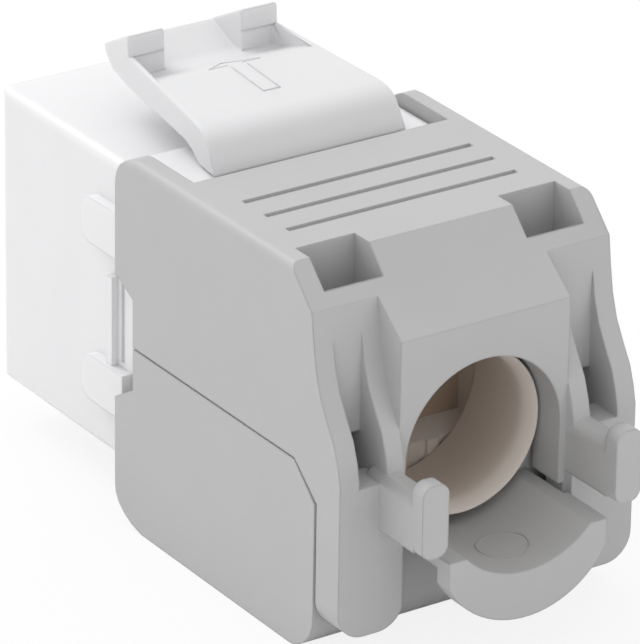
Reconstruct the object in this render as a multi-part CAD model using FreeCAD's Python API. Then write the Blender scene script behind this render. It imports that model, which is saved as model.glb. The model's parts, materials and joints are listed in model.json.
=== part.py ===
import FreeCAD
import Part
import math
import os

# Tool-free keystone jack, millimetres, +Z up. Origin: middle of the lower edge of the plug
# port's face. The port faces -Y, the cable enters along -Y from the +Y side.

os.makedirs("parts", exist_ok=True)
V = FreeCAD.Vector

# ---- driving dimensions -------------------------------------------------------------------
# front housing
HOUSING_W = 14.6
HOUSING_H = 16.2
HOUSING_FRONT_L = 13.0
HOUSING_L = 17.6
HOUSING_WALL = 1.1
HOUSING_FLOOR = 1.6
ROOT_PLATE_Z = 17.2
ROOT_PLATE_END = 18.2
ROOT_RIM = 0.3
# plug port
PORT_W = 11.9
PORT_Z0 = 5.2
PORT_Z1 = 12.0
PORT_DEPTH = 11.4
TAB_SLOT_W = 6.4
TAB_SLOT_Z = 3.8
TAB_NOSE_W = 3.3
TAB_NOSE_Z = 2.6
# side lugs and side rib of the housing
LUG_OUT = 0.6
LUG_H = 2.5
LUG_Y0 = 8.7
LUG_Y1 = 12.6
LUG_UPPER_Z = 12.6
LUG_LOWER_Z = 3.95
RIB_Y = 10.7
RIB_T = 0.55
RIB_Z0 = 5.2
RIB_Z1 = 10.0
# lower panel ledge
LEDGE_W = 9.6
LEDGE_DROP = 1.2
LEDGE_Y0 = 6.6
LEDGE_Y1 = 8.4
# latch lever
LATCH_ROOT_HW = HOUSING_W / 2 - 1.63
LATCH_TIP_HW = LATCH_ROOT_HW - 1.61
LATCH_TIP_Y = 4.75
LATCH_TIP_Z = 19.6
LATCH_ROOT_Y = 17.46
LATCH_ROOT_Z = 17.3
LATCH_CREST_Y = 15.4
LATCH_CREST_Z = 19.33
LATCH_PLATE_Z = 19.9
LATCH_SIDE_H = 1.35
LATCH_PIN_Y = 16.2
LATCH_PIN_Z = 16.9
LATCH_PIN_R = 0.75
LATCH_PIN_HW = LATCH_ROOT_HW - 1.07
EAR_IN = 2.28
EAR_Y = 7.65
EAR_TOP = 20.96
EAR_DRAFT = 0.1
DISH_Z = 18.8
DISH_END = 10.8
DISH_RIM = 0.3
# covers
COVER_WALL = 1.1
COVER_HW = HOUSING_W / 2 + 0.2 + COVER_WALL
COVER_CORNER_R = 1.75
COVER_FRONT = 13.05
COVER_TOP = 17.8
COVER_BOTTOM = -2.16
COVER_REAR_TOP = 28.6
COVER_REAR = 30.7
PARTING_Z = 7.8
PART_GAP = 0.1
SPLIT_Y = 29.2
SPLIT_Z = 6.2
NOTCH_HW = COVER_HW - 1.15
NOTCH_EDGE = 0.3
NOTCH_BEVEL = 1.2
NOTCH_Y1 = 18.38
SIDE_NOTCH_Y = 14.7
SIDE_NOTCH_Z0 = 5.5
SIDE_NOTCH_Z1 = 10.4
FRONT_RELIEF = 0.55
# cover hinges
PIVOT_Y = 14.1
UPPER_PIVOT_Z = 14.6
LOWER_PIVOT_Z = 4.2
PIVOT_R = 0.75
PIVOT_CLEAR = 0.05
# rear of the upper cover
BLOCK_HW = 4.9
BLOCK_REAR = 32.55
BLOCK_TOP = 14.28
BLOCK_FRONT = 30.4
BLOCK_CLEAR = 0.45
ARCH_R = 4.5
ARCH_Z = 7.76
FIN_T = 1.0
LEG_FRONT = 31.15
LEG_REAR = 33.1
LEG_INNER = 4.8
LEG_BOTTOM = -0.4
LEG_R = 1.5
LEG_TOP = 7.5
POCKET_X0 = 4.15
POCKET_X1 = COVER_HW - COVER_WALL
POCKET_Y0 = 27.4
POCKET_Y1 = 29.85
POCKET_FLOOR = 14.3
SLOT_Z0 = 7.3
SLOT_Z1 = 9.25
GROOVE_Y = (21.6, 23.5, 25.4)
GROOVE_HW = COVER_HW - 1.95
GROOVE_W = 0.34
GROOVE_DEPTH = 0.25
# hooks
HOOK_X0 = 4.85
HOOK_W = 1.5
HOOK_WEB_Z0 = 5.1
HOOK_WEB_Z1 = 7.9
HOOK_BAR_Z0 = 4.9
HOOK_BAR_Z1 = 8.75
HOOK_BAR_Y0 = 35.8
HOOK_END = 36.7
# tongue
TONGUE_HW = 4.6
TONGUE_END = 36.5
TONGUE_IN_R = 4.95
TONGUE_IN_Z = 7.65
TONGUE_OUT_R = 6.03
TONGUE_OUT_Z = 7.63
TONGUE_TOP = 4.25
TONGUE_SHOULDER_Z = 3.15
BLOCK_BOTTOM = TONGUE_TOP + 0.2
FLANGE_T = 1.0
FLANGE_R = 5.3
FLANGE_Z = 5.5
# circuit board and contacts
PCB_Y0 = HOUSING_L - 2.2
PCB_T = 1.2
PCB_HW = HOUSING_W / 2 - 1.3
PCB_Z0 = 2.0
PCB_Z1 = 15.0
PITCH = 1.02
CONTACTS = 8
WIRE = 0.36
WIRE_RUN_Z = 13.2
WIRE_BEND_Y = 3.9
WIRE_END_Y = 9.9
WIRE_END_Z = 9.95
CARRIER_HW = HOUSING_W / 2 - 1.7
CARRIER_Y0 = PORT_DEPTH + 0.1
CARRIER_Z0 = 2.4
CARRIER_Z1 = 14.7
# insulation displacement contacts
IDC_PITCH = 2.9
IDC_COLUMNS = 4
IDC_ROW_Z = (4.9, 10.9)
IDC_T = 0.45
IDC_H = 2.4
IDC_FOOT_L = 1.2
IDC_FOOT_H = 0.5
IDC_END = PCB_Y0 + 8.0
IDC_SLOT = 0.5
IDC_SLOT_L = 2.6
BLOCK_IDC_HW = HOUSING_W / 2 - 1.1
BLOCK_IDC_END = PCB_Y0 + 5.9
BLOCK_IDC_H = 4.0
BLOCK_WEB_L = 1.6
BLOCK_WEB_INSET = 1.0
# wire manager
MANAGER_HW = HOUSING_W / 2 - 0.9
MANAGER_Z0 = 2.4
MANAGER_Z1 = 13.4
MANAGER_Y0 = BLOCK_IDC_END + 0.3
MANAGER_STEP_Y = 26.0
MANAGER_STEP_Z = 12.9
MANAGER_Y1 = 28.4
MANAGER_WALL = 1.0
TUBE_Z = 7.9
TUBE_BORE_R = 3.2
TUBE_OUT_R = 4.05
TUBE_LIP_R = 0.5
TUBE_END = 31.6
TUBE_STRAIGHT = 1.4
BELL_R = 4.8
BELL_Y = 25.0
BELL_OUT_Y = 29.4
CHAMBER_HW = 5.5
CHAMBER_Z0 = 4.2
CHAMBER_Z1 = 12.2
WINDOW_Y0 = 24.75
WINDOW_Y1 = 25.5


def box(x0, x1, y0, y1, z0, z1):
    return Part.makeBox(x1 - x0, y1 - y0, z1 - z0, V(x0, y0, z0))


def sym(hw, y0, y1, z0, z1):
    return box(-hw, hw, y0, y1, z0, z1)


def cyl_x(r, x0, x1, y, z):
    return Part.makeCylinder(r, x1 - x0, V(x0, y, z), V(1, 0, 0))


def cyl_y(r, y0, y1, x, z):
    return Part.makeCylinder(r, y1 - y0, V(x, y0, z), V(0, 1, 0))


def slab(points, x0, x1):
    wire = Part.makePolygon([V(x0, y, z) for y, z in points + points[:1]])
    return Part.Face(wire).extrude(V(x1 - x0, 0, 0))


def plate_z(points, z0, z1):
    wire = Part.makePolygon([V(x, y, z0) for x, y in points + points[:1]])
    return Part.Face(wire).extrude(V(0, 0, z1 - z0))


def round_at(shape, r, test):
    edges = [e for e in shape.Edges if test(e)]
    return shape.makeFillet(r, edges)


def along(e, axis):
    a = e.Vertexes[0].Point
    b = e.Vertexes[-1].Point
    d = (b - a)
    n = d.Length
    return n > 1e-6 and abs(abs(getattr(d, axis)) - n) < 1e-6


def mid(e):
    return e.CenterOfMass


def mirror_x(shape):
    return shape.mirror(V(0, 0, 0), V(1, 0, 0))


def both(shape):
    return shape.fuse(mirror_x(shape))


def arc_points(cy, cz, r, a0, a1, n):
    out = []
    for k in range(n + 1):
        a = math.radians(a0 + (a1 - a0) * k / n)
        out.append((cy + r * math.cos(a), cz + r * math.sin(a)))
    return out


def save(shape, name):
    shape = shape.removeSplitter()
    solids = shape.Solids
    if len(solids) != 1:
        raise ValueError(name + " has %d solids" % len(solids))
    solids[0].exportStep("parts/" + name + ".step")


# ---- front housing ------------------------------------------------------------------------
def jack_housing():
    hw = HOUSING_W / 2
    body = sym(hw, 0, HOUSING_L, 0, HOUSING_H)
    body = round_at(body, 0.5, lambda e: along(e, "y") or (along(e, "z") and mid(e).y < 1))
    # stepped plate that carries the latch's root
    body = body.fuse(sym(hw, HOUSING_FRONT_L, ROOT_PLATE_END, HOUSING_H - 0.5, ROOT_PLATE_Z - ROOT_RIM / 2))
    body = body.fuse(sym(hw - ROOT_RIM, HOUSING_FRONT_L + ROOT_RIM, ROOT_PLATE_END - ROOT_RIM,
                         HOUSING_H - 0.5, ROOT_PLATE_Z))
    # plug port with the stepped slot for the plug's tab
    body = body.cut(sym(PORT_W / 2, -1, PORT_DEPTH, PORT_Z0, PORT_Z1))
    body = body.cut(sym(TAB_SLOT_W / 2, -1, PORT_DEPTH, TAB_SLOT_Z, PORT_Z0 + 1))
    body = body.cut(sym(TAB_NOSE_W / 2, -1, PORT_DEPTH, TAB_NOSE_Z, TAB_SLOT_Z + 1))
    # room behind the port for the contact carrier and the board
    body = body.cut(sym(hw - HOUSING_WALL, CARRIER_Y0, HOUSING_L + 1, HOUSING_FLOOR, PCB_Z1 + 0.1))
    body = body.cut(sym(CARRIER_HW + 0.1, WIRE_BEND_Y - 1.1, HOUSING_L, PORT_Z1 - 1, CARRIER_Z1 + 0.1))
    # side lugs and side ribs
    for z in (LUG_UPPER_Z, LUG_LOWER_Z):
        lug = box(hw - 0.2, hw + LUG_OUT, LUG_Y0, LUG_Y1, z - LUG_H / 2, z + LUG_H / 2)
        lug = round_at(lug, 0.9, lambda e: along(e, "x") and mid(e).y < LUG_Y0 + 0.1)
        body = body.fuse(both(lug))
    rib = box(hw - 0.2, hw + 0.35, RIB_Y, RIB_Y + RIB_T, RIB_Z0, RIB_Z1)
    body = body.fuse(both(rib))
    slit = box(hw - 0.35, hw + 1, RIB_Y + RIB_T + 0.35, RIB_Y + RIB_T + 0.6, RIB_Z0 + 0.3, RIB_Z1 + 0.1)
    body = body.cut(both(slit))
    # ledge that hooks under the panel's lower edge
    ledge = slab([(LEDGE_Y0, 0.2), (LEDGE_Y0, -LEDGE_DROP), (LEDGE_Y1 - 0.6, -LEDGE_DROP),
                  (LEDGE_Y1, -LEDGE_DROP + 0.6), (LEDGE_Y1, 0.2)], -LEDGE_W / 2, LEDGE_W / 2)
    body = body.fuse(ledge)
    # seat of the latch lever and the holes of the cover hinges
    seat_r = LATCH_PIN_R + PIVOT_CLEAR
    body = body.cut(cyl_x(seat_r, -LATCH_PIN_HW - 0.1, LATCH_PIN_HW + 0.1, LATCH_PIN_Y, LATCH_PIN_Z))
    for z in (UPPER_PIVOT_Z, LOWER_PIVOT_Z):
        body = body.cut(cyl_x(PIVOT_R + PIVOT_CLEAR, -hw - 1, hw + 1, PIVOT_Y, z))
    return body


# ---- latch lever --------------------------------------------------------------------------
def latch_plan(inset):
    tip = LATCH_TIP_HW - inset
    root = LATCH_ROOT_HW - inset
    return plate_z([(-tip, LATCH_TIP_Y - 0.2), (tip, LATCH_TIP_Y - 0.2), (root, LATCH_ROOT_Y + 0.1),
                    (-root, LATCH_ROOT_Y + 0.1)], 10, 30)


def latch_lever():
    tip_y = LATCH_TIP_Y
    tip_z = LATCH_TIP_Z
    crest_y = LATCH_CREST_Y
    crest_z = LATCH_CREST_Z
    under = crest_z - LATCH_SIDE_H
    outline = [(tip_y, tip_z), (EAR_Y, LATCH_PLATE_Z), (crest_y, crest_z), (crest_y + 0.5, crest_z - 0.1),
               (crest_y + 0.9, crest_z - 0.27), (crest_y + 1.2, crest_z - 0.52),
               (crest_y + 1.42, crest_z - 0.85),
               (LATCH_ROOT_Y, LATCH_ROOT_Z), (LATCH_PIN_Y - 0.5, LATCH_ROOT_Z), (crest_y - 0.5, under - 0.25),
               (crest_y - 1.3, under), (tip_y + 6.4, under + 0.1), (tip_y + 2.8, under + 0.28),
               (tip_y + 1.0, under + 0.56), (tip_y + 0.1, tip_z - 0.44)]
    lever = slab(outline, -LATCH_ROOT_HW, LATCH_ROOT_HW)
    # wedge-shaped ears at the free end, the catch behind the panel's upper edge
    wedge = slab([(tip_y, tip_z), (EAR_Y - EAR_DRAFT - 0.15, EAR_TOP), (EAR_Y - EAR_DRAFT, EAR_TOP - 0.12),
                  (EAR_Y, DISH_Z), (tip_y + 0.5, DISH_Z)], -LATCH_ROOT_HW, LATCH_ROOT_HW)
    lever = lever.fuse(wedge)
    # thumb dish behind the ears, and the hollow between them that rises to the tip
    plane_z = LATCH_PLATE_Z - (DISH_END - EAR_Y) * (LATCH_PLATE_Z - crest_z) / (crest_y - EAR_Y)
    dish = slab([(EAR_Y, DISH_Z), (EAR_Y + 0.9, DISH_Z + 0.12), (DISH_END, plane_z + 0.01), (DISH_END, 30),
                 (EAR_Y - EAR_DRAFT, 30), (EAR_Y - EAR_DRAFT, EAR_TOP)], -LATCH_ROOT_HW, LATCH_ROOT_HW)
    lever = lever.cut(dish.common(latch_plan(DISH_RIM)))
    hollow = slab([(tip_y - 1, 30), (tip_y - 1, tip_z), (tip_y, tip_z), (tip_y + 2.05, DISH_Z),
                   (EAR_Y, DISH_Z), (EAR_Y, 30)], -EAR_IN, EAR_IN)
    lever = lever.cut(hollow)
    # the lever widens from its free end to its root
    lever = lever.common(latch_plan(0))
    pin = cyl_x(LATCH_PIN_R, -LATCH_PIN_HW, LATCH_PIN_HW, LATCH_PIN_Y, LATCH_PIN_Z)
    neck = sym(LATCH_PIN_HW, LATCH_PIN_Y - 0.45, LATCH_PIN_Y + 0.45, LATCH_PIN_Z, LATCH_ROOT_Z + 0.3)
    return lever.fuse(pin).fuse(neck)


# ---- contacts, carrier, board -------------------------------------------------------------
def column_x(i, count, pitch):
    return (i - (count - 1) / 2) * pitch


def contact(i):
    x = column_x(i, CONTACTS, PITCH)
    h = WIRE / 2
    path = [(PCB_Y0, WIRE_RUN_Z), (WIRE_BEND_Y, WIRE_RUN_Z), (WIRE_BEND_Y - 0.42, WIRE_RUN_Z - 0.3),
            (WIRE_BEND_Y - 0.3, WIRE_RUN_Z - 0.75), (WIRE_END_Y, WIRE_END_Z)]
    left = []
    right = []
    for k, (y, z) in enumerate(path):
        a = path[max(k - 1, 0)]
        b = path[min(k + 1, len(path) - 1)]
        dy = b[0] - a[0]
        dz = b[1] - a[1]
        n = math.hypot(dy, dz)
        left.append((y - dz / n * h, z + dy / n * h))
        right.append((y + dz / n * h, z - dy / n * h))
    return slab(left + right[::-1], x - h, x + h)


def contact_carrier():
    wall = sym(CARRIER_HW, CARRIER_Y0, PCB_Y0 - 0.02, CARRIER_Z0, CARRIER_Z1)
    shelf_z = WIRE_RUN_Z + WIRE / 2
    shelf = sym(CARRIER_HW, WIRE_BEND_Y - 0.5, CARRIER_Y0 + 0.5, shelf_z, CARRIER_Z1)
    body = wall.fuse(shelf)
    for i in range(CONTACTS):
        x = column_x(i, CONTACTS, PITCH)
        slot = box(x - WIRE / 2 - 0.03, x + WIRE / 2 + 0.03, CARRIER_Y0 - 1, PCB_Y0 + 1,
                   WIRE_RUN_Z - WIRE, shelf_z)
        body = body.cut(slot)
    return body


def circuit_board():
    return sym(PCB_HW, PCB_Y0, PCB_Y0 + PCB_T, PCB_Z0, PCB_Z1)


def idc_blade(column, row):
    x = column_x(column, IDC_COLUMNS, IDC_PITCH)
    z = IDC_ROW_Z[row]
    y0 = PCB_Y0 + PCB_T
    h = IDC_H / 2
    s = IDC_SLOT / 2
    foot_y = y0 + IDC_FOOT_L
    outline = [(y0, z - IDC_FOOT_H), (foot_y, z - IDC_FOOT_H), (foot_y, z - h), (IDC_END - 0.5, z - h),
               (IDC_END, z - s - 0.25), (IDC_END - IDC_SLOT_L, z - s), (IDC_END - IDC_SLOT_L, z + s),
               (IDC_END, z + s + 0.25), (IDC_END - 0.5, z + h), (foot_y, z + h), (foot_y, z + IDC_FOOT_H),
               (y0, z + IDC_FOOT_H)]
    return slab(outline, x - IDC_T / 2, x + IDC_T / 2)


def idc_block():
    y0 = PCB_Y0 + PCB_T + 0.02
    body = None
    for z in IDC_ROW_Z:
        row = sym(BLOCK_IDC_HW, y0, BLOCK_IDC_END, z - BLOCK_IDC_H / 2, z + BLOCK_IDC_H / 2)
        body = row if body is None else body.fuse(row)
    mid_z = sum(IDC_ROW_Z) / 2
    body = body.fuse(sym(BLOCK_IDC_HW - BLOCK_WEB_INSET, y0, y0 + BLOCK_WEB_L, IDC_ROW_Z[0], IDC_ROW_Z[1]))
    body = body.fuse(sym(0.8, y0, BLOCK_IDC_END, mid_z - 2, mid_z + 2))
    for z in IDC_ROW_Z:
        for i in range(IDC_COLUMNS):
            x = column_x(i, IDC_COLUMNS, IDC_PITCH)
            h = IDC_H / 2 + 0.03
            t = IDC_T / 2 + 0.03
            body = body.cut(box(x - t, x + t, y0 - 1, BLOCK_IDC_END + 1, z - h, z + h))
    return body


def wire_manager():
    body = sym(MANAGER_HW, MANAGER_Y0, MANAGER_STEP_Y, MANAGER_Z0, MANAGER_Z1)
    body = body.fuse(sym(MANAGER_HW, MANAGER_Y0, MANAGER_Y1, MANAGER_Z0, MANAGER_STEP_Z))
    # bell-shaped cable tube with its rolled lip
    lip_y = TUBE_END - TUBE_LIP_R
    bell_out = Part.makeCone(BELL_R + 0.2, TUBE_OUT_R, BELL_OUT_Y - BELL_Y - 2,
                             V(0, BELL_Y + 2, TUBE_Z), V(0, 1, 0))
    tube = cyl_y(TUBE_OUT_R, BELL_OUT_Y - 0.1, lip_y, 0, TUBE_Z)
    lip = Part.makeTorus(TUBE_OUT_R - TUBE_LIP_R, TUBE_LIP_R, V(0, lip_y, TUBE_Z), V(0, 1, 0))
    disc = cyl_y(TUBE_OUT_R - TUBE_LIP_R, lip_y - 0.1, TUBE_END, 0, TUBE_Z)
    body = body.fuse(bell_out).fuse(tube).fuse(disc).fuse(lip)
    body = body.cut(cyl_y(TUBE_BORE_R, MANAGER_Y0 - 1, TUBE_END + 1, 0, TUBE_Z))
    mouth = Part.makeCone(TUBE_BORE_R, TUBE_OUT_R - TUBE_LIP_R, 0.7, V(0, TUBE_END - 0.7, TUBE_Z), V(0, 1, 0))
    body = body.cut(mouth)
    # inside, the bell widens towards the contacts
    bell_l = TUBE_END - 0.7 - TUBE_STRAIGHT - BELL_Y
    body = body.cut(Part.makeCone(BELL_R, TUBE_BORE_R, bell_l, V(0, BELL_Y, TUBE_Z), V(0, 1, 0)))
    # chamber where the four pairs fan out to the wire slots
    wall_y = MANAGER_Y0 + MANAGER_WALL
    body = body.cut(sym(CHAMBER_HW, wall_y, BELL_Y, CHAMBER_Z0, CHAMBER_Z1))
    body = body.cut(both(box(0.77, 2.13, WINDOW_Y0, WINDOW_Y1, MANAGER_Z0 - 1, CHAMBER_Z0 + 0.5)))
    body = body.cut(both(box(2.8, 4.6, WINDOW_Y0, WINDOW_Y1 - 0.1, MANAGER_Z0 - 1, CHAMBER_Z0 + 0.5)))
    mid_z = sum(IDC_ROW_Z) / 2
    body = body.cut(sym(CHAMBER_HW - 1, MANAGER_Y0 - 1, wall_y + 1, mid_z - 1.4, mid_z + 1.4))
    for z in IDC_ROW_Z:
        for i in range(IDC_COLUMNS):
            x = column_x(i, IDC_COLUMNS, IDC_PITCH)
            h = IDC_H / 2 + 0.15
            t = IDC_T / 2 + 0.15
            body = body.cut(box(x - t, x + t, MANAGER_Y0 - 1, IDC_END + 0.4, z - h, z + h))
    return body


# ---- covers -------------------------------------------------------------------------------
def rear_profile():
    return [(COVER_REAR_TOP, COVER_TOP), (30.5, 15.9), (30.7, 14.4), (30.95, 13.0), (31.35, 11.8),
            (31.95, 10.75), (32.55, 9.8), (32.9, 8.8), (LEG_REAR, 7.9), (LEG_REAR, LEG_BOTTOM)]


def upper_cover():
    r = COVER_CORNER_R
    corner = arc_points(COVER_FRONT + r, COVER_TOP - r, r, 180, 90, 8)
    z0 = PARTING_Z + PART_GAP / 2
    lower_edge = [(LEG_FRONT, LEG_BOTTOM), (LEG_FRONT, SPLIT_Z), (SPLIT_Y, z0), (SIDE_NOTCH_Y, z0),
                  (SIDE_NOTCH_Y, SIDE_NOTCH_Z1), (COVER_FRONT, SIDE_NOTCH_Z1 + 0.85)]
    outline = corner + rear_profile() + lower_edge
    shell = slab(outline, -COVER_HW, COVER_HW)
    shell = round_at(shell, 0.45, lambda e: along(e, "y") and mid(e).z > COVER_TOP - 0.1
                     and abs(mid(e).x) > COVER_HW - 0.1)
    inner_x = COVER_HW - COVER_WALL
    # inside, open at the front and below
    room_top = COVER_TOP - COVER_WALL
    rear_in = COVER_REAR - COVER_WALL
    room = slab([(COVER_FRONT - 1, LEG_BOTTOM - 5), (COVER_FRONT - 1, room_top), (26.3, room_top),
                 (26.3, POCKET_FLOOR - 0.9), (rear_in, POCKET_FLOOR - 0.9), (rear_in, LEG_BOTTOM - 5)],
                -inner_x, inner_x)
    shell = shell.cut(room)
    # between the ends of the side walls and the fins the rear wall stays back
    recess = [(COVER_REAR, LEG_TOP), (COVER_REAR, 15.7), (40, 15.7), (40, LEG_TOP)]
    for s in (1, -1):
        xs = sorted((s * (BLOCK_HW + FIN_T), s * inner_x))
        shell = shell.cut(slab(recess, xs[0], xs[1]))
        shell = shell.cut(box(xs[0], xs[1], rear_in - 1, COVER_REAR + 0.5, SLOT_Z0, SLOT_Z1))
        ps = sorted((s * POCKET_X0, s * POCKET_X1))
        shell = shell.cut(box(ps[0], ps[1], POCKET_Y0, POCKET_Y1, POCKET_FLOOR, COVER_TOP + 1))
    # middle block: its face stands proud of the recesses but back from the legs
    block_cut = slab([(BLOCK_REAR, BLOCK_TOP), (BLOCK_REAR, LEG_BOTTOM - 1), (45, LEG_BOTTOM - 1),
                      (45, BLOCK_TOP + 9)], -BLOCK_HW, BLOCK_HW)
    shell = shell.cut(block_cut)
    crest = slab([(COVER_REAR_TOP - 1, COVER_TOP), (COVER_REAR_TOP - 0.5, COVER_TOP), (BLOCK_REAR, BLOCK_TOP),
                  (BLOCK_REAR, BLOCK_BOTTOM), (rear_in + 0.02, BLOCK_BOTTOM), (rear_in + 0.02, POCKET_FLOOR)],
                 -BLOCK_HW, BLOCK_HW)
    crest = crest.cut(both(box(POCKET_X0, POCKET_X1, POCKET_Y0, POCKET_Y1, POCKET_FLOOR, COVER_TOP + 1)))
    shell = shell.fuse(crest)
    # round arch over the cable tube, open below
    shell = shell.cut(cyl_y(ARCH_R, 25, 45, 0, ARCH_Z))
    shell = shell.cut(sym(ARCH_R, 25, 45, LEG_BOTTOM - 3, ARCH_Z))
    # no wall below the block between the legs
    shell = shell.cut(sym(LEG_INNER, 25, 45, LEG_BOTTOM - 3, BLOCK_BOTTOM))
    fin_out = BLOCK_HW + FIN_T + 0.1
    shell = shell.cut(sym(fin_out, 20, BLOCK_FRONT, LEG_BOTTOM - 1, SLOT_Z0 - 0.2))
    shell = shell.cut(both(box(fin_out - 0.1, inner_x, 20, LEG_FRONT, LEG_BOTTOM - 1, SLOT_Z0 - 0.2)))
    # round ends of the legs
    for s in (1, -1):
        for edge_x, inward in ((COVER_HW, -1), (LEG_INNER, 1)):
            cx = s * (edge_x + inward * LEG_R)
            corner_box = box(min(cx, s * edge_x), max(cx, s * edge_x), 28, 40,
                             LEG_BOTTOM - 1, LEG_BOTTOM + LEG_R)
            corner_box = corner_box.cut(cyl_y(LEG_R, 27, 41, cx, LEG_BOTTOM + LEG_R))
            shell = shell.cut(corner_box)
    # latch notch, side wall relief over the housing's lugs
    shell = shell.cut(sym(NOTCH_HW, COVER_FRONT - 1, NOTCH_Y1, PARTING_Z, COVER_TOP + 1))
    bevel = slab([(NOTCH_Y1 - 0.1, room_top - 1), (NOTCH_Y1 - 0.1, COVER_TOP - NOTCH_EDGE),
                  (NOTCH_Y1, COVER_TOP - NOTCH_EDGE), (NOTCH_Y1 + NOTCH_BEVEL, room_top),
                  (NOTCH_Y1 + NOTCH_BEVEL, room_top - 1)], -NOTCH_HW, NOTCH_HW)
    shell = shell.cut(bevel)
    relief = box(inner_x - 0.1, inner_x + FRONT_RELIEF, COVER_FRONT - 1, 15.4, SIDE_NOTCH_Z1 - 1, 16.1)
    shell = shell.cut(both(relief))
    # three fine grooves across the top
    for y in GROOVE_Y:
        groove = sym(GROOVE_HW, y - GROOVE_W / 2, y + GROOVE_W / 2, COVER_TOP - GROOVE_DEPTH, COVER_TOP + 1)
        shell = shell.cut(groove)
    # hooks for the cable tie
    web = box(HOOK_X0, HOOK_X0 + HOOK_W, LEG_REAR - 1.2, HOOK_BAR_Y0 + 0.2, HOOK_WEB_Z0, HOOK_WEB_Z1)
    web = round_at(web, 0.6, lambda e: along(e, "y") and mid(e).z > HOOK_WEB_Z1 - 0.1)
    bar = box(HOOK_X0, HOOK_X0 + HOOK_W, HOOK_BAR_Y0, HOOK_END, HOOK_BAR_Z0, HOOK_BAR_Z1)
    bar = round_at(bar, 0.6, lambda e: along(e, "y"))
    shell = shell.fuse(both(web.fuse(bar)))
    # hinge studs
    hw = HOUSING_W / 2
    stud = cyl_x(PIVOT_R, hw - HOUSING_WALL + 0.1, inner_x + FRONT_RELIEF + 0.1, PIVOT_Y, UPPER_PIVOT_Z)
    return shell.fuse(both(stud))


def lower_cover():
    inner_x = COVER_HW - COVER_WALL
    z1 = PARTING_Z - PART_GAP / 2
    f = COVER_FRONT
    b = COVER_BOTTOM
    corner = [(f, b + 1.85), (f + 0.07, b + 1.4), (f + 0.35, b + 0.95), (f + 0.85, b + 0.55),
              (f + 1.55, b + 0.22), (f + 2.5, b)]
    end = LEG_FRONT - 0.2
    rear = [(end - 2.0, b), (end - 1.4, b + 0.11), (end - 0.78, b + 0.5), (end - 0.28, b + 1.06),
            (end - 0.03, b + 1.66), (end, b + 2.36)]
    outline = corner + rear + [(end, SPLIT_Z - 0.1), (SPLIT_Y - 0.05, z1), (SIDE_NOTCH_Y, z1),
                               (SIDE_NOTCH_Y, SIDE_NOTCH_Z0), (f, SIDE_NOTCH_Z0 - 0.98)]
    shell = slab(outline, -COVER_HW, COVER_HW)
    floor = b + COVER_WALL
    rear_in = BLOCK_FRONT - BLOCK_CLEAR - COVER_WALL
    room = slab([(f - 1, b - 1), (f + 0.85, b - 1), (f + 0.85, floor), (rear_in - 0.9, floor),
                 (rear_in, -0.2), (rear_in, 30), (f - 1, 30)], -inner_x, inner_x)
    shell = shell.cut(room)
    # saddle in the rear wall under the cable tube, with room for the upper cover's block
    saddle_top = SPLIT_Z + 0.1
    shell = shell.cut(sym(COVER_HW - COVER_WALL - 0.05, 20, 45, saddle_top, 20))
    shell = shell.cut(sym(BLOCK_HW + FIN_T + 0.2, BLOCK_FRONT - BLOCK_CLEAR, 45, TONGUE_SHOULDER_Z, 20))
    shell = shell.cut(cyl_y(TONGUE_IN_R, 20, 45, 0, TONGUE_IN_Z))
    relief = box(inner_x - 0.1, inner_x + FRONT_RELIEF, COVER_FRONT - 1, 15.4, -0.5, SIDE_NOTCH_Z0 + 1)
    shell = shell.cut(both(relief))
    # tongue with its thick end flange
    tongue = cyl_y(TONGUE_OUT_R, rear_in + 0.3, TONGUE_END, 0, TONGUE_OUT_Z)
    flange = cyl_y(FLANGE_R, TONGUE_END - FLANGE_T, TONGUE_END, 0, FLANGE_Z)
    tongue = tongue.fuse(flange)
    tongue = tongue.cut(cyl_y(TONGUE_IN_R, 20, 45, 0, TONGUE_IN_Z))
    tongue = tongue.common(sym(TONGUE_HW, 20, 45, -3, TONGUE_TOP))
    narrow = box(ARCH_R - 0.1, 10, 20, LEG_REAR + 0.1, TONGUE_SHOULDER_Z, 20)
    tongue = tongue.cut(both(narrow))
    shell = shell.fuse(tongue)
    hw = HOUSING_W / 2
    stud = cyl_x(PIVOT_R, hw - HOUSING_WALL + 0.1, inner_x + FRONT_RELIEF + 0.1, PIVOT_Y, LOWER_PIVOT_Z)
    return shell.fuse(both(stud))


save(jack_housing(), "jack_housing")
save(latch_lever(), "latch_lever")
save(contact_carrier(), "contact_carrier")
for i in range(CONTACTS):
    save(contact(i), "contact_%d" % (i + 1))
save(circuit_board(), "circuit_board")
save(idc_block(), "idc_block")
for row in range(2):
    for column in range(IDC_COLUMNS):
        save(idc_blade(column, row), "idc_blade_%d" % (row * IDC_COLUMNS + column + 1))
save(wire_manager(), "wire_manager")
save(upper_cover(), "upper_cover")
save(lower_cover(), "lower_cover")
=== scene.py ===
import bpy
import json
import math
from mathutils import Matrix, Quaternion, Vector

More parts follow.
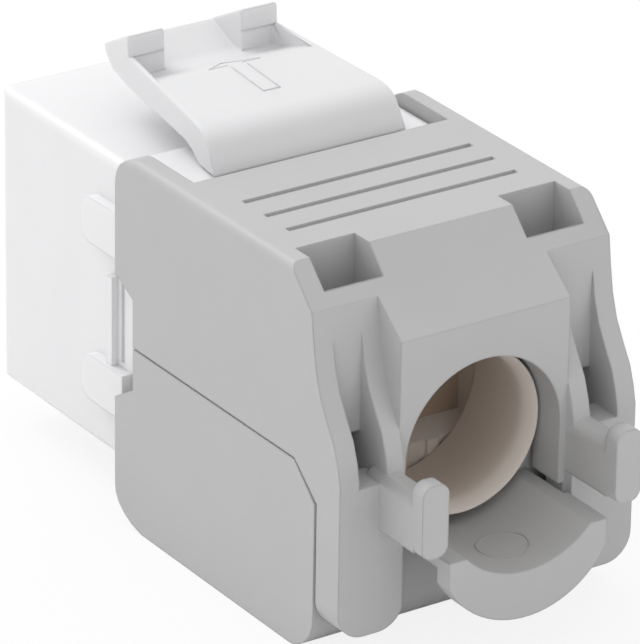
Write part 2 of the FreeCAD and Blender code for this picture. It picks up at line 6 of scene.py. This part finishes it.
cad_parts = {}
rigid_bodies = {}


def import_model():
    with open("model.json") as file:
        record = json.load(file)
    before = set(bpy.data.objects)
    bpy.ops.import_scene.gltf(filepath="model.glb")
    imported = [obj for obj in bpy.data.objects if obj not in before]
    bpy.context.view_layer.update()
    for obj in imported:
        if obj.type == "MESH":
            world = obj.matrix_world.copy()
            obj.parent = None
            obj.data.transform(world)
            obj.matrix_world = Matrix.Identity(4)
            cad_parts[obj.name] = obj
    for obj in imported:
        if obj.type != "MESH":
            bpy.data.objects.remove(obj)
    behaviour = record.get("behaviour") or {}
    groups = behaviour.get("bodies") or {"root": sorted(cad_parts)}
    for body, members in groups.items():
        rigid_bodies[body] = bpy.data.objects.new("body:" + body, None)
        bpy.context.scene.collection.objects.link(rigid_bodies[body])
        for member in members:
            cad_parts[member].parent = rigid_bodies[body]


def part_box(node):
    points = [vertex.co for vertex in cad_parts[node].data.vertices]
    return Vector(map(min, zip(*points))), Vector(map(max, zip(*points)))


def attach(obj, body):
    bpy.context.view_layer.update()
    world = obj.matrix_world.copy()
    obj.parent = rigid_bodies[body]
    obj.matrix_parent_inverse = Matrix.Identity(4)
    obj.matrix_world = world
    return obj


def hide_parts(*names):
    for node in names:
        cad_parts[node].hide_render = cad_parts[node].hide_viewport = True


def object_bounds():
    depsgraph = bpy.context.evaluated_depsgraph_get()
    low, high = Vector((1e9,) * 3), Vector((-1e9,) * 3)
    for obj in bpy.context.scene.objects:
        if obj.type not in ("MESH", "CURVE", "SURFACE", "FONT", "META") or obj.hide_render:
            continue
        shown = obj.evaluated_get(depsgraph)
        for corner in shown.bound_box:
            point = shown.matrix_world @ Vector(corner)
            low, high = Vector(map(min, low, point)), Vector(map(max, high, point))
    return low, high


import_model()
start_low, start_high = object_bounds()
bpy.ops.object.select_all(action="DESELECT")

# ---- table and light ----------------------------------------------------------------------
# A pale table under the jack, one broad lamp high at the port side and a plain pale sky all
# round. The table reads as white paper and lies a hair under the lower cover's flat bottom.
mm = 0.001
table_gap = 0.02 * mm
bpy.ops.mesh.primitive_plane_add(size=4, location=(0, 0, start_low.z - table_gap))
table = bpy.context.object
table.name = "table"
table_paper = bpy.data.materials.new("table_paper")
table_paper.use_nodes = True
nodes = table_paper.node_tree.nodes
links = table_paper.node_tree.links
paper = nodes["Principled BSDF"]
paper.inputs["Base Color"].default_value = (0.86, 0.86, 0.86, 1)
paper.inputs["Roughness"].default_value = 0.85
paper_white = nodes.new("ShaderNodeEmission")
paper_white.inputs["Strength"].default_value = 1.0
paper_mix = nodes.new("ShaderNodeMixShader")
paper_ray = nodes.new("ShaderNodeLightPath")
paper_share = nodes.new("ShaderNodeMath")
paper_share.operation = "MULTIPLY"
paper_share.inputs[1].default_value = 0.85
links.new(paper_ray.outputs["Is Camera Ray"], paper_share.inputs[0])
links.new(paper_share.outputs[0], paper_mix.inputs[0])
links.new(paper.outputs[0], paper_mix.inputs[1])
links.new(paper_white.outputs[0], paper_mix.inputs[2])
links.new(paper_mix.outputs[0], nodes["Material Output"].inputs["Surface"])
table.data.materials.append(table_paper)

jack_middle = Vector((0, 0.015, 0.008))
bpy.ops.object.light_add(type="AREA", location=(0.10, -0.36, 0.42))
key_lamp = bpy.context.object
key_lamp.name = "key_lamp"
key_lamp.data.size = 0.3
key_lamp.data.energy = 1.2
key_lamp.rotation_euler = (jack_middle - key_lamp.location).to_track_quat("-Z", "Y").to_euler()

pale_sky = bpy.data.worlds.new("pale_sky")
bpy.context.scene.world = pale_sky
pale_sky.use_nodes = True
nodes = pale_sky.node_tree.nodes
links = pale_sky.node_tree.links
nodes.clear()
sky_light = nodes.new("ShaderNodeBackground")
sky_light.inputs["Color"].default_value = (1, 1, 1, 1)
sky_light.inputs["Strength"].default_value = 0.92
sky_seen = nodes.new("ShaderNodeBackground")
sky_seen.inputs["Color"].default_value = (1, 1, 1, 1)
sky_seen.inputs["Strength"].default_value = 1.0
sky_ray = nodes.new("ShaderNodeLightPath")
sky_mix = nodes.new("ShaderNodeMixShader")
sky_out = nodes.new("ShaderNodeOutputWorld")
links.new(sky_ray.outputs["Is Camera Ray"], sky_mix.inputs[0])
links.new(sky_light.outputs[0], sky_mix.inputs[1])
links.new(sky_seen.outputs[0], sky_mix.inputs[2])
links.new(sky_mix.outputs[0], sky_out.inputs["Surface"])

# ---- camera -------------------------------------------------------------------------------
# A long lens from above the cable end, so the jack is seen almost without perspective.
camera_aim = Vector((-0.0018095, 0.0157268, 0.0070754))
bpy.ops.object.camera_add(location=(0.152649, 0.245095, 0.135700))
camera = bpy.context.object
camera.name = "camera"
camera.data.lens = 340.67
camera.data.sensor_width = 36
camera.data.clip_start = 0.01
camera.data.clip_end = 5
camera_look = (camera_aim - camera.location).to_track_quat("-Z", "Y")
camera_roll = Quaternion((0, 0, 1), math.radians(0.899))
camera.rotation_euler = (camera_look @ camera_roll).to_euler()
bpy.context.scene.camera = camera
bpy.context.scene.view_settings.view_transform = "Standard"


# ---- front housing ------------------------------------------------------------------------
# One bright white moulding carries the plug port at the front and the hinges of both covers.
# It is injection moulded in a hard plastic with a fine satin surface and softly rounded edges.
def moulded(name, colour, spread, rough, grain, grain_height, glow=0.0):
    plastic = bpy.data.materials.new(name)
    plastic.use_nodes = True
    nodes = plastic.node_tree.nodes
    links = plastic.node_tree.links
    body = nodes["Principled BSDF"]
    place = nodes.new("ShaderNodeTexCoord")
    cloud = nodes.new("ShaderNodeTexNoise")
    cloud.inputs["Scale"].default_value = 260
    cloud.inputs["Detail"].default_value = 4
    links.new(place.outputs["Object"], cloud.inputs["Vector"])
    shade = nodes.new("ShaderNodeValToRGB")
    shade.color_ramp.elements[0].position = 0.3
    shade.color_ramp.elements[0].color = (*[c * (1 - spread) for c in colour], 1)
    shade.color_ramp.elements[1].position = 0.7
    shade.color_ramp.elements[1].color = (*[c * (1 + spread) for c in colour], 1)
    links.new(cloud.outputs["Fac"], shade.inputs["Fac"])
    links.new(shade.outputs["Color"], body.inputs["Base Color"])
    polish = nodes.new("ShaderNodeMapRange")
    polish.inputs["To Min"].default_value = rough - 0.05
    polish.inputs["To Max"].default_value = rough + 0.05
    links.new(cloud.outputs["Fac"], polish.inputs["Value"])
    links.new(polish.outputs["Result"], body.inputs["Roughness"])
    satin = nodes.new("ShaderNodeTexNoise")
    satin.inputs["Scale"].default_value = grain
    satin.inputs["Detail"].default_value = 3
    links.new(place.outputs["Object"], satin.inputs["Vector"])
    soft_edge = nodes.new("ShaderNodeBevel")
    soft_edge.samples = 4
    soft_edge.inputs["Radius"].default_value = 0.16 * mm
    relief = nodes.new("ShaderNodeBump")
    relief.inputs["Strength"].default_value = 0.35
    relief.inputs["Distance"].default_value = grain_height
    links.new(satin.outputs["Fac"], relief.inputs["Height"])
    links.new(soft_edge.outputs["Normal"], relief.inputs["Normal"])
    links.new(relief.outputs["Normal"], body.inputs["Normal"])
    body.inputs["Subsurface Weight"].default_value = glow
    body.inputs["Subsurface Radius"].default_value = (1.0, 0.95, 0.9)
    body.inputs["Subsurface Scale"].default_value = 0.6 * mm
    return plastic


def finish_with(piece, material):
    piece.data.materials.clear()
    piece.data.materials.append(material)


edge_round = 0.1 * mm


def round_edges(piece, width, clamp):
    weld = piece.modifiers.new("weld", "WELD")
    weld.merge_threshold = 0.002 * mm
    flat = piece.modifiers.new("flat", "DECIMATE")
    flat.decimate_type = "DISSOLVE"
    flat.angle_limit = math.radians(1.5)
    edge = piece.modifiers.new("edge", "BEVEL")
    edge.width = width
    edge.segments = 2
    edge.limit_method = "ANGLE"
    edge.angle_limit = math.radians(32)
    edge.use_clamp_overlap = clamp
    edge.loop_slide = False
    normals = piece.modifiers.new("normals", "WEIGHTED_NORMAL")
    normals.keep_sharp = False


housing_white = moulded("housing_white", (0.80, 0.80, 0.81), 0.01, 0.36, 9000, 0.006 * mm, 0.15)
jack_housing = bpy.data.objects["jack_housing"]
finish_with(jack_housing, housing_white)
round_edges(jack_housing, edge_round, True)

# ---- latch lever --------------------------------------------------------------------------
# The springy lever on top snaps over the housing's top. It is the housing's white plastic, drawn a
# little greyer as painted shade that holds back the extra light on its upward-facing plate. A plain
# arrow is outlined by a fine bead on its plate.
# Painted shade: the lever's white is a darker copy of the housing white.
latch_shaded_white = moulded("latch_shaded_white", (0.71, 0.71, 0.72), 0.01, 0.4, 9000, 0.006 * mm, 0.15)
latch_lever = bpy.data.objects["latch_lever"]
finish_with(latch_lever, latch_shaded_white)

arrow_tip_y = 9.2 * mm
arrow_neck_y = 10.45 * mm
arrow_tail_y = 13.85 * mm
arrow_start_z = 21 * mm
arrow_shaft_w = 0.95 * mm
arrow_head_w = 3.0 * mm
arrow_wing_step = 0.02 * mm
arrow_point = 0.03
bead_r = 0.05 * mm


def lay_on(piece, target):
    settle = piece.modifiers.new("settle", "SHRINKWRAP")
    settle.target = target
    settle.wrap_method = "PROJECT"
    settle.use_project_z = True
    settle.use_negative_direction = True
    settle.use_positive_direction = False
    bpy.ops.object.modifier_apply(modifier=settle.name)


def beaded(radius):
    bpy.ops.object.convert(target="CURVE")
    bpy.context.object.data.bevel_depth = radius
    bpy.context.object.data.bevel_resolution = 2
    bpy.ops.object.convert(target="MESH")
    bpy.ops.object.shade_smooth()
    return bpy.context.object


bpy.ops.object.select_all(action="DESELECT")
bpy.ops.mesh.primitive_plane_add(
    size=1, location=(0, (arrow_neck_y + arrow_tail_y) / 2, arrow_start_z)
)
latch_arrow = bpy.context.object
latch_arrow.name = "latch_arrow"
latch_arrow.scale = (arrow_shaft_w, arrow_tail_y - arrow_neck_y, 1)
bpy.ops.object.transform_apply(location=True, rotation=True, scale=True)
bpy.ops.object.mode_set(mode="EDIT")
bpy.ops.mesh.select_all(action="DESELECT")
bpy.ops.object.mode_set(mode="OBJECT")
for vertex in latch_arrow.data.vertices:
    vertex.select = vertex.co.y < (arrow_neck_y + arrow_tail_y) / 2
bpy.ops.object.mode_set(mode="EDIT")
bpy.ops.mesh.select_mode(type="VERT")
bpy.ops.mesh.extrude_region_move(TRANSFORM_OT_translate={"value": (0, -arrow_wing_step, 0)})
bpy.ops.transform.resize(
    value=(arrow_head_w / arrow_shaft_w, 1, 1), center_override=(0, arrow_neck_y, arrow_start_z)
)
bpy.ops.mesh.extrude_region_move(TRANSFORM_OT_translate={"value": (0, arrow_tip_y - arrow_neck_y, 0)})
bpy.ops.transform.resize(value=(arrow_point, 1, 1), center_override=(0, arrow_tip_y, arrow_start_z))
bpy.ops.mesh.select_all(action="SELECT")
bpy.ops.mesh.region_to_loop()
bpy.ops.mesh.select_all(action="INVERT")
bpy.ops.mesh.delete(type="EDGE")
bpy.ops.mesh.select_all(action="SELECT")
bpy.ops.mesh.subdivide(number_cuts=5)
bpy.ops.object.mode_set(mode="OBJECT")
lay_on(latch_arrow, latch_lever)
latch_arrow = beaded(bead_r)
finish_with(latch_arrow, latch_shaded_white)
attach(latch_arrow, "latch")
round_edges(latch_lever, edge_round, False)

# ---- contacts and their carrier -----------------------------------------------------------
# Eight sprung wires reach down into the plug port. They are drawn bronze with a thin gold
# plate, and the carrier that holds them is pressed in from behind.
def metal(name, colour, rough, streaks):
    made = bpy.data.materials.new(name)
    made.use_nodes = True
    nodes = made.node_tree.nodes
    links = made.node_tree.links
    body = nodes["Principled BSDF"]
    body.inputs["Metallic"].default_value = 1.0
    place = nodes.new("ShaderNodeTexCoord")
    drawn = nodes.new("ShaderNodeMapping")
    drawn.inputs["Scale"].default_value = (1, 0.08, 1)
    links.new(place.outputs["Object"], drawn.inputs["Vector"])
    lines = nodes.new("ShaderNodeTexNoise")
    lines.inputs["Scale"].default_value = streaks
    lines.inputs["Detail"].default_value = 3
    links.new(drawn.outputs["Vector"], lines.inputs["Vector"])
    tone = nodes.new("ShaderNodeValToRGB")
    tone.color_ramp.elements[0].position = 0.3
    tone.color_ramp.elements[0].color = (*[c * 0.88 for c in colour], 1)
    tone.color_ramp.elements[1].position = 0.7
    tone.color_ramp.elements[1].color = (*colour, 1)
    links.new(lines.outputs["Fac"], tone.inputs["Fac"])
    links.new(tone.outputs["Color"], body.inputs["Base Color"])
    polish = nodes.new("ShaderNodeMapRange")
    polish.inputs["To Min"].default_value = rough - 0.06
    polish.inputs["To Max"].default_value = rough + 0.08
    links.new(lines.outputs["Fac"], polish.inputs["Value"])
    links.new(polish.outputs["Result"], body.inputs["Roughness"])
    marks = nodes.new("ShaderNodeBump")
    marks.inputs["Strength"].default_value = 0.2
    marks.inputs["Distance"].default_value = 0.004 * mm
    links.new(lines.outputs["Fac"], marks.inputs["Height"])
    links.new(marks.outputs["Normal"], body.inputs["Normal"])
    return made


gold_plate = metal("gold_plate", (0.86, 0.62, 0.25), 0.26, 6000)
contact_count = 8
for number in range(1, contact_count + 1):
    finish_with(bpy.data.objects[f"contact_{number}"], gold_plate)
carrier_amber = moulded("carrier_amber", (0.30, 0.26, 0.20), 0.05, 0.5, 7000, 0.008 * mm)
finish_with(bpy.data.objects["contact_carrier"], carrier_amber)

# ---- circuit board ------------------------------------------------------------------------
# A small glass-fibre board joins the contacts to the wire blades. Its green lacquer is glossy
# and lies a hair higher over the copper tracks.
board_lacquer = bpy.data.materials.new("board_lacquer")
board_lacquer.use_nodes = True
nodes = board_lacquer.node_tree.nodes
links = board_lacquer.node_tree.links
lacquer = nodes["Principled BSDF"]
board_place = nodes.new("ShaderNodeTexCoord")
board_turn = nodes.new("ShaderNodeMapping")
board_turn.inputs["Rotation"].default_value = (math.radians(90), 0, 0)
links.new(board_place.outputs["Object"], board_turn.inputs["Vector"])
tracks = nodes.new("ShaderNodeTexBrick")
tracks.inputs["Scale"].default_value = 900
tracks.inputs["Mortar Size"].default_value = 0.08
tracks.inputs["Color1"].default_value = (0.012, 0.10, 0.035, 1)
tracks.inputs["Color2"].default_value = (0.016, 0.12, 0.045, 1)
tracks.inputs["Mortar"].default_value = (0.05, 0.26, 0.09, 1)
links.new(board_turn.outputs["Vector"], tracks.inputs["Vector"])
links.new(tracks.outputs["Color"], lacquer.inputs["Base Color"])
lacquer.inputs["Roughness"].default_value = 0.22
weave = nodes.new("ShaderNodeTexNoise")
weave.inputs["Scale"].default_value = 4000
links.new(board_place.outputs["Object"], weave.inputs["Vector"])
track_height = nodes.new("ShaderNodeBump")
track_height.inputs["Strength"].default_value = 0.3
track_height.inputs["Distance"].default_value = 0.03 * mm
links.new(tracks.outputs["Fac"], track_height.inputs["Height"])
weave_height = nodes.new("ShaderNodeBump")
weave_height.inputs["Strength"].default_value = 0.2
weave_height.inputs["Distance"].default_value = 0.005 * mm
links.new(weave.outputs["Fac"], weave_height.inputs["Height"])
links.new(track_height.outputs["Normal"], weave_height.inputs["Normal"])
links.new(weave_height.outputs["Normal"], lacquer.inputs["Normal"])
finish_with(bpy.data.objects["circuit_board"], board_lacquer)

# ---- contact block and wire blades --------------------------------------------------------
# Eight slotted bronze blades, stamped and tinned, stand in a moulded block on the board and
# cut through the wires' insulation. They reach into the front wall of the wire manager.
finish_with(bpy.data.objects["idc_block"], carrier_amber)
tinned_bronze = metal("tinned_bronze", (0.66, 0.63, 0.57), 0.32, 4000)
manager_low, manager_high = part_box("wire_manager")
manager_front = manager_low.y
manager_wall = 1.0 * mm
blade_end = manager_front + manager_wall - 0.1 * mm
for number in range(1, contact_count + 1):
    node = bpy.data.objects[f"idc_blade_{number}"]
    blade = bpy.data.objects.new(f"wire_blade_{number}", node.data.copy())
    bpy.context.collection.objects.link(blade)
    bpy.ops.object.select_all(action="DESELECT")
    blade.select_set(True)
    bpy.context.view_layer.objects.active = blade
    bpy.ops.object.mode_set(mode="EDIT")
    bpy.ops.mesh.select_all(action="SELECT")
    bpy.ops.mesh.remove_doubles(threshold=0.002 * mm)
    bpy.ops.mesh.select_all(action="SELECT")
    bpy.ops.mesh.bisect(
        plane_co=(0, blade_end, 0), plane_no=(0, 1, 0), use_fill=True, clear_outer=True
    )
    bpy.ops.object.mode_set(mode="OBJECT")
    finish_with(blade, tinned_bronze)
    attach(blade, "housing")
    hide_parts(f"idc_blade_{number}")

# ---- wire manager -------------------------------------------------------------------------
# A moulding of off-white plastic slides over the blades from behind; its warm ivory colour is
# painted shade for the shade it lies in. The cable comes in through its thin bell-shaped tube, and
# the four pairs fan out in the chamber in front of it, whose floor is drawn pale as painted light
# and whose front wall is drawn brown as painted shade, both of the same plastic.
# Painted shade: the off-white manager plastic is drawn as a warm, darker ivory.
manager_ivory_painted_shade = moulded("manager_ivory_painted_shade", (0.74, 0.67, 0.61), 0.015, 0.42, 7000, 0.004 * mm, 0.1)
# Painted shade: the chamber's front wall is the same plastic, drawn brown for the shade deep inside.
chamber_wall_painted_shade = moulded("chamber_wall_painted_shade", (0.56, 0.43, 0.33), 0.03, 0.5, 7000, 0.006 * mm)
# Painted light: the chamber floor is the same plastic, drawn near white, brighter than the lamps
# light it.
chamber_floor_painted_light = moulded("chamber_floor_painted_light", (0.92, 0.92, 0.91), 0.01, 0.4, 7000, 0.004 * mm)
manager_hw = manager_high.x
manager_top = manager_high.z
manager_rear = 28.4 * mm
manager_step_y = 26.0 * mm
manager_step = 0.5 * mm
chamber_hw = 5.5 * mm
chamber_z0 = 4.2 * mm
chamber_z1 = 12.2 * mm
bell_y = 25.0 * mm
tube_z = 7.76 * mm
bell_r = 4.8 * mm
bore_cut_r = bell_r + 0.1 * mm
bore_cut_l = 8 * mm
tube_segments = 96
window_y0 = bell_y - 0.25 * mm
window_y1 = bell_y + 0.5 * mm
window_spans = ((1.0 * mm, 2.1 * mm), (2.8 * mm, 4.6 * mm))
face_match = 0.05 * mm


def box_piece(x0, x1, y0, y1, z0, z1):
    bpy.ops.object.select_all(action="DESELECT")
    bpy.ops.mesh.primitive_cube_add(size=1, location=((x0 + x1) / 2, (y0 + y1) / 2, (z0 + z1) / 2))
    made = bpy.context.object
    made.scale = (x1 - x0, y1 - y0, z1 - z0)
    bpy.ops.object.transform_apply(location=True, rotation=True, scale=True)
    return made


def cut_away(piece, tool):
    bpy.ops.object.select_all(action="DESELECT")
    piece.select_set(True)
    bpy.context.view_layer.objects.active = piece
    cut = piece.modifiers.new("cut", "BOOLEAN")
    cut.operation = "DIFFERENCE"
    cut.solver = "EXACT"
    cut.object = tool
    bpy.ops.object.modifier_apply(modifier=cut.name)
    bpy.data.objects.remove(tool)


manager = box_piece(
    -manager_hw, manager_hw, manager_front, manager_rear, manager_low.z, manager_top - manager_step
)
manager.name = "wire_manager_body"
bpy.ops.object.mode_set(mode="EDIT")
bpy.ops.mesh.select_all(action="SELECT")
bpy.ops.mesh.bisect(plane_co=(0, manager_step_y, 0), plane_no=(0, 1, 0))
bpy.ops.mesh.select_all(action="DESELECT")
bpy.ops.object.mode_set(mode="OBJECT")
for face in manager.data.polygons:
    face.select = face.normal.z > 0.9 and face.center.y < manager_step_y
bpy.ops.object.mode_set(mode="EDIT")
bpy.ops.mesh.select_mode(type="FACE")
bpy.ops.mesh.extrude_region_move(TRANSFORM_OT_translate={"value": (0, 0, manager_step)})
bpy.ops.object.mode_set(mode="OBJECT")
corner = manager.modifiers.new("corner", "BEVEL")
corner.width = 0.25 * mm
corner.segments = 3
corner.angle_limit = math.radians(40)
bpy.ops.object.modifier_apply(modifier=corner.name)
chamber = box_piece(
    -chamber_hw, chamber_hw, manager_front + manager_wall, bell_y, chamber_z0, chamber_z1
)
cut_away(manager, chamber)
bpy.ops.mesh.primitive_cylinder_add(
    vertices=tube_segments, radius=bore_cut_r, depth=bore_cut_l,
    location=(0, bell_y - 0.1 * mm + bore_cut_l / 2, tube_z), rotation=(math.radians(90), 0, 0),
)
cut_away(manager, bpy.context.object)
for side in (-1, 1):
    for near, far in window_spans:
        window = box_piece(
            min(side * near, side * far), max(side * near, side * far),
            window_y0, window_y1, manager_low.z - mm, chamber_z0 + 0.5 * mm,
        )
        cut_away(manager, window)

# The tube's own line, as distance along the jack and radius in millimetres.
tube_outside = [(27.0, 5.0), (28.4, 4.78), (29.4, 4.44), (30.2, 4.37), (30.8, 4.36), (30.97, 4.34)]
tube_mouth = [(31.03, 4.29), (30.96, 4.23), (30.75, 4.12), (30.5, 4.02), (30.3, 3.96), (30.1, 3.93)]
tube_inside = [(29.8, 3.95), (29.2, 4.03), (28.0, 4.25), (26.5, 4.53), (25.0, 4.8), (25.0, 5.0)]
tube_profile = [(25.0, 5.0)] + tube_outside + tube_mouth + tube_inside
ring_y, ring_r = tube_profile[0]
bpy.ops.object.select_all(action="DESELECT")
bpy.ops.mesh.primitive_circle_add(
    vertices=tube_segments, radius=ring_r * mm, location=(0, ring_y * mm, tube_z),
    rotation=(math.radians(90), 0, 0),
)
tube = bpy.context.object
bpy.ops.object.transform_apply(location=True, rotation=True, scale=True)
bpy.ops.object.mode_set(mode="EDIT")
bpy.ops.mesh.select_mode(type="VERT")
bpy.ops.mesh.select_all(action="SELECT")
for next_y, next_r in tube_profile[1:]:
    bpy.ops.mesh.extrude_region_move(TRANSFORM_OT_translate={"value": (0, (next_y - ring_y) * mm, 0)})
    grow = next_r / ring_r
    bpy.ops.transform.resize(value=(grow, 1, grow), center_override=(0, next_y * mm, tube_z))
    ring_y, ring_r = next_y, next_r
bpy.ops.mesh.select_all(action="SELECT")
bpy.ops.mesh.remove_doubles(threshold=0.005 * mm)
bpy.ops.mesh.normals_make_consistent(inside=False)
bpy.ops.object.mode_set(mode="OBJECT")
manager.select_set(True)
tube.select_set(True)
bpy.context.view_layer.objects.active = manager
bpy.ops.object.join()
finish_with(manager, manager_ivory_painted_shade)
manager.data.materials.append(chamber_floor_painted_light)
manager.data.materials.append(chamber_wall_painted_shade)
# Chamber floor faces take the painted-light floor colour; the chamber's front wall takes the
# painted-shade brown.
for face in manager.data.polygons:
    face.material_index = 0
    on_floor = face.normal.z > 0.9 and abs(face.center.z - chamber_z0) < face_match
    if on_floor and face.center.y < bell_y:
        face.material_index = 1
    if face.normal.y > 0.9 and abs(face.center.y - manager_front - manager_wall) < face_match:
        face.material_index = 2
bpy.ops.object.shade_smooth_by_angle(angle=math.radians(35))
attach(manager, "housing")
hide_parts("wire_manager")

# ---- rear covers --------------------------------------------------------------------------
# Two covers swing together over the wire manager and hook into each other round the cable.
# Both are moulded in one light grey plastic, with a faintly sparked surface.
cover_grey = moulded("cover_grey", (0.47, 0.47, 0.47), 0.015, 0.48, 6500, 0.012 * mm)
upper_cover = bpy.data.objects["upper_cover"]
lower_cover = bpy.data.objects["lower_cover"]
finish_with(upper_cover, cover_grey)
finish_with(lower_cover, cover_grey)

# The mould's push-out pin leaves a faint raised ring on the floor of the lower tongue.
pin_r = 1.3 * mm
pin_place = (-0.3 * mm, 33.9 * mm, 5 * mm)
bpy.ops.object.select_all(action="DESELECT")
bpy.ops.mesh.primitive_circle_add(vertices=64, radius=pin_r, location=pin_place)
pin_ring = bpy.context.object
pin_ring.name = "pin_ring"
bpy.ops.object.transform_apply(location=True, rotation=True, scale=True)
lay_on(pin_ring, lower_cover)
pin_ring = beaded(bead_r)
finish_with(pin_ring, cover_grey)
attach(pin_ring, "lower")
round_edges(lower_cover, edge_round, True)
round_edges(upper_cover, edge_round, True)
